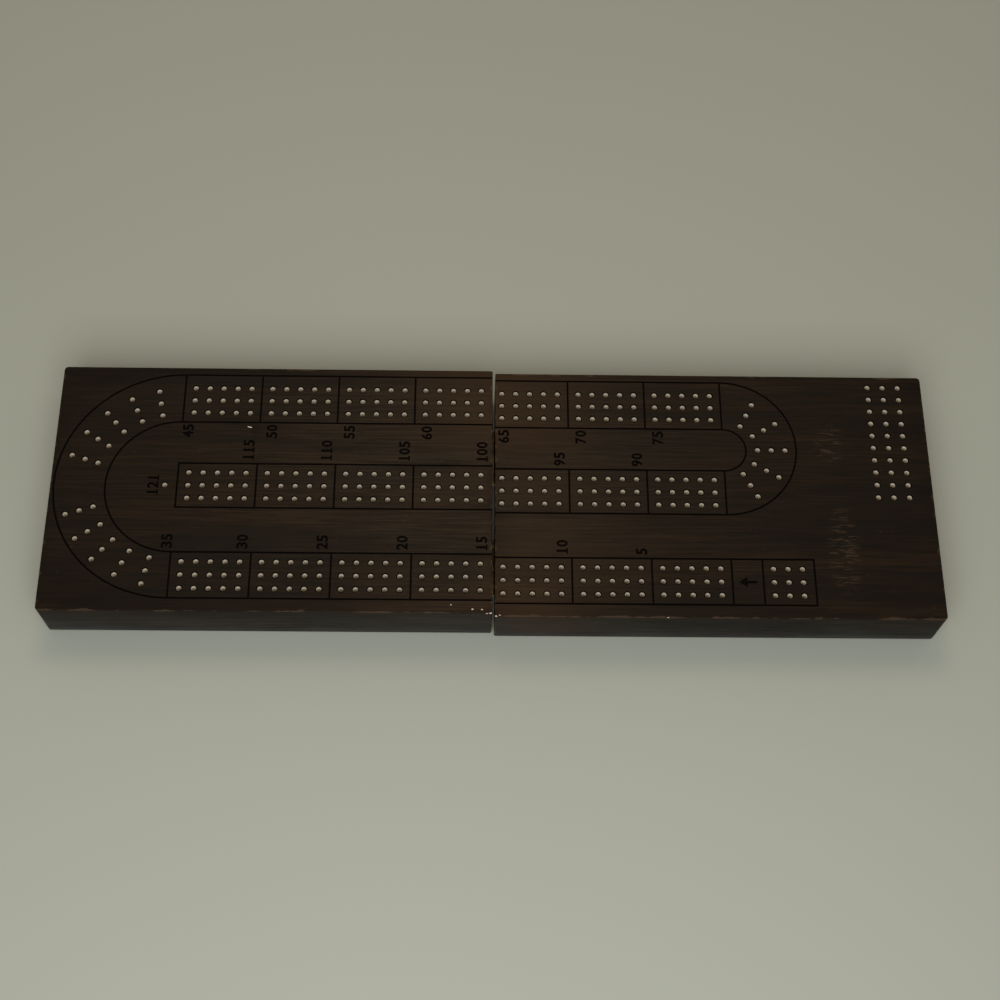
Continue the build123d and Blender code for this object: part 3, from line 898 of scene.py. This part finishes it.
def number_cutters(side, numbers, middle_y):
    """Two cutters, of digits and of feet, from (text, x, y of the first cell's start) entries."""
    digits = bmesh.new()
    feet = bmesh.new()
    for text, x, start_y in numbers:
        for k, digit in enumerate(text):
            y = start_y + (k + 0.5) * digit_cell + middle_y
            before = set(digits.verts)
            digits.from_mesh(digit_solids[digit])
            added = [v for v in digits.verts if v not in before]
            bmesh.ops.translate(digits, verts=added, vec=(x, y, 0))
            if digit == "1":
                foot_x = x + digit_height / 2
                low = (foot_x - foot_thickness, y - foot_width / 2, top_z - foot_depth)
                high = (foot_x + foot_overlap, y + foot_width / 2, top_z + 3 * above)
                add_box(feet, low, high)
    bmesh.ops.recalc_face_normals(feet, faces=feet.faces)
    return [
        finish_piece(side + "_digits", digits, burnt_wood),
        finish_piece(side + "_digit_feet", feet, burnt_wood),
    ]


def counted(texts, first_x, shift, start_y, first_group=0):
    """Number entries, one for each group of holes."""
    return [
        (text, first_x + k * group_pitch + shift, start_y) for k, text in enumerate(texts, start=first_group)
    ]


far_number_y = 29.2 * mm - 2 * digit_cell
return_number_y = 11.9 * mm
near_number_y = -28.9 * mm
far_shift = 0.8 * mm
last_shift = group_run + 0.5 * mm
corner_shift = -1.8 * mm
finish_shift = -5.0 * mm
left_numbers = [
    *counted(["45"], left_first_x, corner_shift, far_number_y),
    *counted(["35"], left_bend_x, 0, near_number_y),
    *counted(["121"], finish_x, finish_shift, finish_y - 1.5 * digit_cell),
    *counted(["50", "55", "60"], left_first_x, far_shift, far_number_y, first_group=1),
    *counted(["115", "110", "105", "100"], left_first_x, last_shift, return_number_y),
    *counted(["30", "25", "20", "15"], left_first_x, last_shift, near_number_y),
]
right_numbers = [
    *counted(["65", "70", "75"], right_first_x, far_shift, far_number_y),
    *counted(["95", "90"], right_first_x, last_shift, return_number_y),
    *counted(["10", "5"], near_first_x, last_shift, near_number_y),
]
left_number_cutters = number_cutters("left", left_numbers, left_y)
right_number_cutters = number_cutters("right", right_numbers, right_y)
print("numbers:", len(left_numbers), "left and", len(right_numbers), "right")

# %% [markdown]
# ## Start arrow
#
# A plain arrow in the narrow cell beside the start block shows which way the race runs. It is one
# outline of seven corners, extruded like the digits.

# %% Start arrow
arrow_length = 7.6 * mm
arrow_head = 3.6 * mm
arrow_half_width = 2.3 * mm
arrow_shaft = 0.55 * mm
arrow_x = (near_dividers[-1] + start_wall_x) / 2
arrow_y = (near_inner_y + near_line_y) / 2 + right_y
tip_x = arrow_x - arrow_length / 2
tail_x = arrow_x + arrow_length / 2
neck_x = arrow_x - arrow_length / 2 + arrow_head

bm = bmesh.new()
outline = [
    (tip_x, 0), (neck_x, -arrow_half_width), (neck_x, -arrow_shaft), (tail_x, -arrow_shaft),
    (tail_x, arrow_shaft), (neck_x, arrow_shaft), (neck_x, arrow_half_width),
]
bm.faces.new([bm.verts.new((x, arrow_y + y, top_z - digit_depth)) for x, y in outline])
start_arrow = finish_piece("start_arrow", extruded(bm, digit_depth + 2 * above), burnt_wood)
print("arrow", round(arrow_length / mm, 1), "mm long")

# %% [markdown]
# ## Nicks
#
# A used board has lost a few crumbs of wood along its front edge, next to the seam and where the
# halves knock together, and carries a short scratch near the number 50. Each nick is a small rough
# ball sunk into the edge, and the scratch is a thin sliver. They cut into bare wood.

# %% Nick cutters
nick_shape = Matrix.Diagonal((1.5, 0.8, 0.7, 1))
sliver_shape = Matrix.Rotation(math.radians(-14), 4, "Z") @ Matrix.Diagonal((1.25, 0.27, 0.16, 1))


def nick_cutter(name, shape, nicks):
    """Small flattened balls, from (x, y, depth, radius) entries in millimetres."""
    bm = bmesh.new()
    for x, y, depth, radius in nicks:
        place = Matrix.Translation((x * mm, y * mm, top_z - depth * mm))
        bmesh.ops.create_icosphere(bm, subdivisions=1, radius=radius * mm, matrix=place @ shape)
    return finish_piece(name, bm, bare_wood)


left_nicks = nick_cutter("left_nicks", nick_shape, [
    (-1.2, -55.75, 0.25, 0.5), (-2.6, -55.9, 0.3, 0.36), (-4.7, -54.3, 0, 0.34),
    (-8.6, -54.2, 0, 0.38), (-17.5, -52.3, 0, 0.26),
])
right_nicks = nick_cutter("right_nicks", nick_shape, [
    (1.1, -57.0, 0.25, 0.48), (2.6, -56.7, 0, 0.28), (71.8, -57.2, 0.1, 0.3),
])
scratch = nick_cutter("scratch", sliver_shape, [(-105.0, 28.5, 0, 1.0)])
print("nicks cut with", left_nicks.name, right_nicks.name, "and a", scratch.name)

# %% [markdown]
# ## Milling from below
#
# The underside is opened by a router. The card well and the drawer bay are milled after staining, so
# they are bare inside. The hinges sit in shallow mortises, with a round channel for their barrels.

# %% Router helpers
below = underside_z - above
cutter_step = 0.1 * mm
pocket_roof = 7 * mm
pocket_top_z = top_z - pocket_roof


def in_plane(edge, axis, value):
    """Whether an edge lies square across an axis, at a value."""
    return all(abs(v.co[axis] - value) < same_place for v in edge.verts)


def upright_edges(bm):
    """The edges of a box that stand along Z."""
    return [e for e in bm.edges if not in_plane(e, 2, e.verts[0].co.z)]


def ease(bm, edges, offset, segments, clamp=False):
    """Round edges over."""
    bmesh.ops.bevel(
        bm, geom=edges, offset=offset, offset_type="OFFSET", segments=segments, profile=0.5,
        affect="EDGES", material=-1, clamp_overlap=clamp,
    )


def pocket(name, low, high, corner=0.0):
    """A box cutter, with rounded upright edges where it has a corner radius."""
    bm = bmesh.new()
    add_box(bm, low, high)
    if corner > 0:
        ease(bm, upright_edges(bm), corner, 6)
    bmesh.ops.recalc_face_normals(bm, faces=bm.faces)
    return finish_piece(name, bm, bare_wood)


def rod(bm, middle, along, radius, length, sides):
    """Add a cylinder about a middle, standing along Z or lying along Y."""
    turn = Matrix.Identity(4) if along == "Z" else Matrix.Rotation(math.pi / 2, 4, "X")
    bmesh.ops.create_cone(
        bm, cap_ends=True, segments=sides, radius1=radius, radius2=radius, depth=length,
        matrix=Matrix.Translation(middle) @ turn,
    )


def rod_cutter(name, middle, along, radius, length, sides, material):
    """A cylinder as a cutter of its own."""
    bm = bmesh.new()
    rod(bm, middle, along, radius, length, sides)
    return finish_piece(name, bm, material)


print("pockets reach up to", round(pocket_top_z / mm, 1), "mm")

# %% Card well and drawer bay
well_x = (left_low.x + left_high.x) / 2
well_half = (33.5 * mm, 46 * mm)
well_corner = 4 * mm
scoop_radius = 11 * mm
scoop_depth = 10 * mm
well_low = (well_x - well_half[0], left_y - well_half[1], below)
well_high = (well_x + well_half[0], left_y + well_half[1], pocket_top_z)
left_router = [pocket("card_well", well_low, well_high, well_corner)]
for side in (-1, 1):
    middle = (well_x + side * well_half[0], left_y, underside_z + scoop_depth - (scoop_depth + above) / 2)
    left_router.append(rod_cutter("scoop", middle, "Z", scoop_radius, scoop_depth + above, 48, bare_wood))

bay_length = 128 * mm
bay_half_width = 45 * mm
bay_back_x = end_x - bay_length
past_end = 4 * mm
floor_lip = 6 * mm
panel_thickness = 3 * mm
rabbet_half_width = bay_half_width + floor_lip
bay_low = (bay_back_x, right_y - bay_half_width, below)
bay_high = (end_x + past_end, right_y + bay_half_width, pocket_top_z)
rabbet_low = (bay_back_x - floor_lip, right_y - rabbet_half_width, below - cutter_step)
rabbet_high = (end_x + past_end + 1 * mm, right_y + rabbet_half_width, underside_z + panel_thickness)
right_router = [pocket("drawer_bay", bay_low, bay_high), pocket("floor_rabbet", rabbet_low, rabbet_high)]
print("card well", round(2 * well_half[0] / mm), "mm, drawer bay", round(2 * bay_half_width / mm), "mm wide")

# %% Hinge mortises
hinge_ys = [-26.2 * mm, 26.2 * mm]
leaf_reach = 9.5 * mm
leaf_length = 25 * mm
leaf_thickness = 1.0 * mm
barrel_radius = 1.4 * mm
seat_gap = 0.05 * mm
channel_radius = 1.7 * mm
channel_length = 26.4 * mm
half_length = leaf_length / 2 + seat_gap
for hinge_y in hinge_ys:
    for side, router in ((-1, left_router), (1, right_router)):
        reach_x = side * (leaf_reach + seat_gap)
        low = (min(0, reach_x), hinge_y - half_length, below + cutter_step)
        high = (max(0, reach_x), hinge_y + half_length, underside_z + leaf_thickness + seat_gap)
        middle = (0, hinge_y, underside_z)
        channel = rod_cutter("barrel_channel", middle, "Y", channel_radius, channel_length, 32, bare_wood)
        router.extend([pocket("hinge_mortise", low, high), channel])
print("router cuts:", len(left_router), "left and", len(right_router), "right")

# %% [markdown]
# ## The two halves
#
# Each half starts as a cube stretched to the frame's box. Its upright corners are rounded first and
# the edges of both faces after that, always with a smaller radius than the corners, so that the bevels
# never meet. All the cutters then go into one collection, and a single exact boolean takes them away.
# The result is read back as a plain mesh.

# %% Blanks and booleans
outer_corner = 1.7 * mm
seam_corner = 0.6 * mm
face_edge = 0.4 * mm


def wood_blank(name, low, high, outer_x, material):
    """A half's blank with its corners and edges eased."""
    bm = bmesh.new()
    add_box(bm, low, high)
    upright = upright_edges(bm)
    outer = [e for e in upright if in_plane(e, 0, outer_x)]
    seam = [e for e in upright if e not in outer]
    ease(bm, outer, outer_corner, 6)
    ease(bm, [e for e in seam if e.is_valid], seam_corner, 3)
    ease(bm, [e for e in bm.edges if in_plane(e, 2, high.z)], face_edge, 3)
    ease(bm, [e for e in bm.edges if in_plane(e, 2, low.z)], face_edge, 2)
    bmesh.ops.recalc_face_normals(bm, faces=bm.faces)
    return finish_piece(name, bm, material)


def combine(piece, operation, tools):
    """Cut the tools away from the piece, or join them to it, and keep the plain result."""
    tool_box = bpy.data.collections.new(piece.name + "_tools")
    scene.collection.children.link(tool_box)
    for tool in tools:
        tool_box.objects.link(tool)
        scene.collection.objects.unlink(tool)
    boolean = piece.modifiers.new("combine", "BOOLEAN")
    boolean.operation = operation
    boolean.operand_type = "COLLECTION"
    boolean.collection = tool_box
    boolean.solver = "EXACT"
    boolean.material_mode = "TRANSFER"
    piece.data = evaluated_mesh(piece)
    piece.modifiers.clear()
    for tool in tools:
        bpy.data.objects.remove(tool)
    bpy.data.collections.remove(tool_box)
    return piece


def crisp(piece, angle=35):
    """Smooth shading that stays sharp at real edges."""
    piece.data.shade_smooth()
    piece.data.set_sharp_from_angle(angle=math.radians(angle))
    return piece


def settle(piece, body, node):
    """Give a finished piece its place in the frame."""
    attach(piece, body)
    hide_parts(node)
    return piece


print("blanks measure", [round(v / mm, 1) for v in left_high - left_low], "mm")

# %% Left and right half
left_cutters = [left_drill, left_nicks, scratch, *left_number_cutters, *left_outlines, *left_router]
right_cutters = [right_drill, right_nicks, start_arrow, *right_number_cutters, *right_outlines, *right_router]
for side, low, high, outer_x, stain, cutters in (
    ("left", left_low, left_high, left_low.x, left_stain, left_cutters),
    ("right", right_low, right_high, right_high.x, right_stain, right_cutters),
):
    board = wood_blank(side + "_board_wood", low, high, outer_x, stain)
    combine(board, "DIFFERENCE", cutters)
    settle(crisp(board), side + "_board", side + "_half")
    print(board.name, len(board.data.polygons), "faces,", [m.name for m in board.data.materials])

# %% [markdown]
# ## Brass and felt
#
# The hinges, screws and pins are brass that has gone dull and dark. Its colour wanders between a
# cleaner and a tarnished tone with the handling mask, and the tarnish is rougher. The feet are dense
# dark felt: fully rough, with a fine nap from a small noise.

# %% Brass and felt
clean_brass = (0.36, 0.26, 0.13)
tarnished_brass = (0.19, 0.14, 0.078)
clean_roughness = 0.4
added_by_tarnish = 0.2
tarnish_scale = (160, 160, 160)
felt_low = (0.022, 0.022, 0.02)
felt_high = (0.075, 0.073, 0.068)

brass, tree, shader = new_material("aged_brass", clean_roughness)
tarnish = group_node(tree, handling_group, Areas=tarnish_scale)["Area"]
tree.links.new(mixed(tree, tarnish, clean_brass, tarnished_brass), shader.inputs["Base Color"])
brass_rough = math_node(tree, "MULTIPLY_ADD", tarnish, added_by_tarnish, clean_roughness)
tree.links.new(brass_rough, shader.inputs["Roughness"])
shader.inputs["Metallic"].default_value = 1.0

felt, tree, shader = new_material("felt", roughness=1.0, gloss=0.1)
nap = noise_node(tree, object_point(tree), detail=3, roughness=0.7, scale=1800)
tree.links.new(mixed(tree, nap, felt_low, felt_high), shader.inputs["Base Color"])
bumped(tree, shader, nap, strength=0.6, distance=0.2 * mm)
print("materials", brass.name, "and", felt.name)

# %% [markdown]
# ## Hinges
#
# A butt hinge is a pair of leaves whose knuckles interleave round one pin, with the screw holes
# countersunk on the outer face, here the underside. Each leaf is a plate from which the other leaf's
# knuckles are cleared, to which its own are joined, and through which the pin and the screws are then
# drilled. The three booleans are small, so they cost nothing.

# %% Countersinks and screws
head_radius = 1.8 * mm
head_depth = 0.8 * mm
shank_radius = 0.9 * mm
screw_ease = 0.05 * mm
screw_point = 1.2 * mm
screw_sides = 24
sink_depth = 4 * mm
slot_shape = Matrix.Diagonal((5 * mm, 0.5 * mm, 0.8 * mm, 1))
leaf_screw_length = 6.0 * mm
leaf_screw_x = (barrel_radius + leaf_reach) / 2
leaf_screw_dy = 7.5 * mm


def countersinks(name, places, material):
    """Cutters for countersunk holes, opening downwards, at (x, y) places on the underside."""
    head = head_radius + screw_ease
    shank = shank_radius + screw_ease
    profile = [(0, -above), (head + above, -above), (shank, head_depth), (shank, sink_depth), (0, sink_depth)]
    bm = spun_solid(profile, screw_sides)
    return finish_piece(name, copied_to(bm, [(x, y, underside_z) for x, y in places]), material)


def screws(name, places, length):
    """Slotted screws standing up into the wood, at (x, y) places on the underside."""
    shank_top = length - screw_point
    profile = [(0, 0), (head_radius, 0), (shank_radius, head_depth), (shank_radius, shank_top), (0, length)]
    bm = spun_solid(profile, screw_sides)
    piece = finish_piece(name, copied_to(bm, [(x, y, underside_z) for x, y in places]), brass)
    slots = bmesh.new()
    for k, (x, y) in enumerate(places):
        turn = Matrix.Translation((x, y, underside_z)) @ Matrix.Rotation(math.radians(25 + 47 * k), 4, "Z")
        bmesh.ops.create_cube(slots, size=1, matrix=turn @ slot_shape)
    combine(piece, "DIFFERENCE", [finish_piece(name + "_slots", slots, brass)])
    return crisp(piece, 30)


def leaf_screw_places(side, ys):
    """Screw places of the leaves at ys on one half; side is -1 or 1."""
    return [(side * leaf_screw_x, y + dy) for y in ys for dy in (-leaf_screw_dy, leaf_screw_dy)]


for side, half in ((-1, "left"), (1, "right")):
    node = half + "_leaf_screws"
    piece = screws(node + "_brass", leaf_screw_places(side, hinge_ys), leaf_screw_length)
    settle(piece, half + "_board", node)
    print(piece.name, len(piece.data.polygons), "faces")

# %% Hinge leaves and pins
knuckles = 5
knuckle_gap = 0.2 * mm
knuckle_length = (leaf_length - (knuckles - 1) * knuckle_gap) / knuckles
knuckle_clearance = 0.2 * mm
barrel_trim = 0.02 * mm
pin_radius = 0.7 * mm
pin_length = leaf_length + 0.8 * mm
bore_length = leaf_length + 2 * mm


def eased_box(bm, low, high, offset):
    """Add a box and ease all its edges."""
    add_box(bm, low, high)
    ease(bm, list(bm.edges), offset, 2)


def rods(name, middles, radius, length, sides):
    """A tool of cylinders along Y."""
    bm = bmesh.new()
    for middle in middles:
        rod(bm, middle, "Y", radius, length, sides)
    return finish_piece(name, bm, brass)


def hinge_leaf(name, hinge_y, side):
    """One leaf; the left leaf has the outer and middle knuckles."""
    middles = [
        (0, hinge_y + (k - (knuckles - 1) / 2) * (knuckle_length + knuckle_gap), underside_z)
        for k in range(knuckles)
    ]
    own = middles[0::2] if side < 0 else middles[1::2]
    other = middles[1::2] if side < 0 else middles[0::2]
    bm = bmesh.new()
    low = (min(0, side * leaf_reach), hinge_y - leaf_length / 2, underside_z)
    high = (max(0, side * leaf_reach), hinge_y + leaf_length / 2, underside_z + leaf_thickness)
    eased_box(bm, low, high, 0.12 * mm)
    leaf = finish_piece(name, bm, brass)
    reliefs = rods("reliefs", other, barrel_radius + knuckle_clearance, knuckle_length + 2 * knuckle_gap, 32)
    combine(leaf, "DIFFERENCE", [reliefs])
    combine(leaf, "UNION", [rods("barrels", own, barrel_radius, knuckle_length - barrel_trim, 32)])
    bore = rods("bore", [(0, hinge_y, underside_z)], pin_radius + screw_ease, bore_length, 24)
    combine(leaf, "DIFFERENCE", [bore, countersinks("sinks", leaf_screw_places(side, [hinge_y]), brass)])
    return crisp(leaf, 30)


for hinge, hinge_y in zip(("front_hinge", "back_hinge"), hinge_ys):
    for side, half in ((-1, "left"), (1, "right")):
        node = hinge + "_" + half + "_leaf"
        leaf = settle(hinge_leaf(node + "_brass", hinge_y, side), half + "_board", node)
        print(leaf.name, len(leaf.data.polygons), "faces")
    bm = bmesh.new()
    rod(bm, (0, hinge_y, underside_z), "Y", pin_radius, pin_length, 24)
    ease(bm, [e for e in bm.edges if in_plane(e, 1, e.verts[0].co.y)], 0.18 * mm, 2)
    pin = crisp(finish_piece(hinge + "_pin_brass", bm, brass))
    settle(pin, "left_board", hinge + "_pin")

# %% [markdown]
# ## Bay floor
#
# The bay is closed from below by a stained panel with a half-round notch at the outer end, where a
# fingertip reaches the drawer. It is screwed on with six countersunk screws and holds the brass pin
# that stops the drawer.

# %% Bay floor
floor_low, floor_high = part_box("bay_floor")
pin_low, pin_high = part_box("drawer_stop_pin")
pin_middle = (pin_low + pin_high) / 2
panel_stain = stained_wood("floor_stain", floor_low, floor_high, 1.0 * mm)
panel_screw_length = 9.0 * mm
panel_screw_dy = bay_half_width + floor_lip / 2
panel_screw_inset = 12 * mm
through = 12 * mm
notch_radius = 11 * mm
stop_pin_radius = 1.45 * mm
panel_screw_places = [
    (x, right_y + side * panel_screw_dy)
    for x in (bay_back_x + panel_screw_inset, end_x - bay_length / 2, end_x - panel_screw_inset)
    for side in (-1, 1)
]

bm = bmesh.new()
eased_box(bm, floor_low, floor_high, 0.3 * mm)
bay_floor = finish_piece("bay_floor_wood", bm, panel_stain)
notch = rod_cutter("notch", (end_x, right_y, underside_z), "Z", notch_radius, through, 64, panel_stain)
pin_hole = rod_cutter("pin_hole", pin_middle, "Z", stop_pin_radius + seat_gap, through, 24, bare_wood)
combine(bay_floor, "DIFFERENCE", [notch, pin_hole, countersinks("sinks", panel_screw_places, bare_wood)])
settle(crisp(bay_floor), "right_board", "bay_floor")
panel_screws = screws("bay_floor_screws_brass", panel_screw_places, panel_screw_length)
settle(panel_screws, "right_board", "bay_floor_screws")

bm = bmesh.new()
rod(bm, pin_middle, "Z", stop_pin_radius, pin_high.z - pin_low.z, 32)
ease(bm, [e for e in bm.edges if in_plane(e, 2, pin_high.z)], 0.35 * mm, 3)
stop_pin = settle(crisp(finish_piece("stop_pin_brass", bm, brass)), "right_board", "drawer_stop_pin")
print(bay_floor.name, "with", len(panel_screw_places), "screws and", stop_pin.name)

# %% [markdown]
# ## Drawer
#
# The drawer's pieces have grooves and housings that the frame already holds exactly. A copy of a
# frame piece is a net of loose triangles, so its points are merged and its flat faces joined first.
# Then every outward edge can be eased with a bevel, as sandpaper does.

# %% Drawer pieces
flat_within = math.radians(1)
sharp_from = math.radians(40)
front_stain = stained_wood("front_stain", *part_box("drawer_front"), 0.9 * mm)


def eased_copy(node, name, offset, material):
    """A copy of a frame piece with its outward edges eased."""
    bm = bmesh.new()
    bm.from_mesh(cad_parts[node].data)
    bmesh.ops.remove_doubles(bm, verts=bm.verts, dist=same_place)
    bmesh.ops.dissolve_limit(bm, angle_limit=flat_within, verts=list(bm.verts), edges=list(bm.edges))
    outward = [
        e for e in bm.edges
        if len(e.link_faces) == 2 and e.is_convex and e.calc_face_angle(0) > sharp_from
    ]
    ease(bm, outward, offset, 2, clamp=True)
    bmesh.ops.recalc_face_normals(bm, faces=bm.faces)
    return crisp(finish_piece(name, bm, material), 30)


drawer_front = eased_copy("drawer_front", "drawer_front_wood", 0.3 * mm, front_stain)
settle(drawer_front, "drawer", "drawer_front")
for node in ("drawer_near_side", "drawer_far_side", "drawer_back", "drawer_bottom", "drawer_divider"):
    piece = eased_copy(node, node + "_wood", 0.2 * mm, drawer_wood)
    settle(piece, "drawer", node)
    print(piece.name, len(piece.data.polygons), "faces")

# %% [markdown]
# ## Feet
#
# Four felt discs keep the hinge barrels off the table. Felt has no sharp edge, so the rim that
# touches the table is rounded over.

# %% Felt feet
foot_radius = 4.5 * mm
for node, body in (("left_feet", "left_board"), ("right_feet", "right_board")):
    low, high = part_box(node)
    bm = bmesh.new()
    for y in (low.y + foot_radius, high.y - foot_radius):
        rod(bm, ((low.x + high.x) / 2, y, (low.z + high.z) / 2), "Z", foot_radius, high.z - low.z, 40)
    ease(bm, [e for e in bm.edges if in_plane(e, 2, low.z)], 0.4 * mm, 3)
    feet = settle(crisp(finish_piece(node + "_felt", bm, felt), 50), body, node)
    print(feet.name, len(feet.data.polygons), "faces")
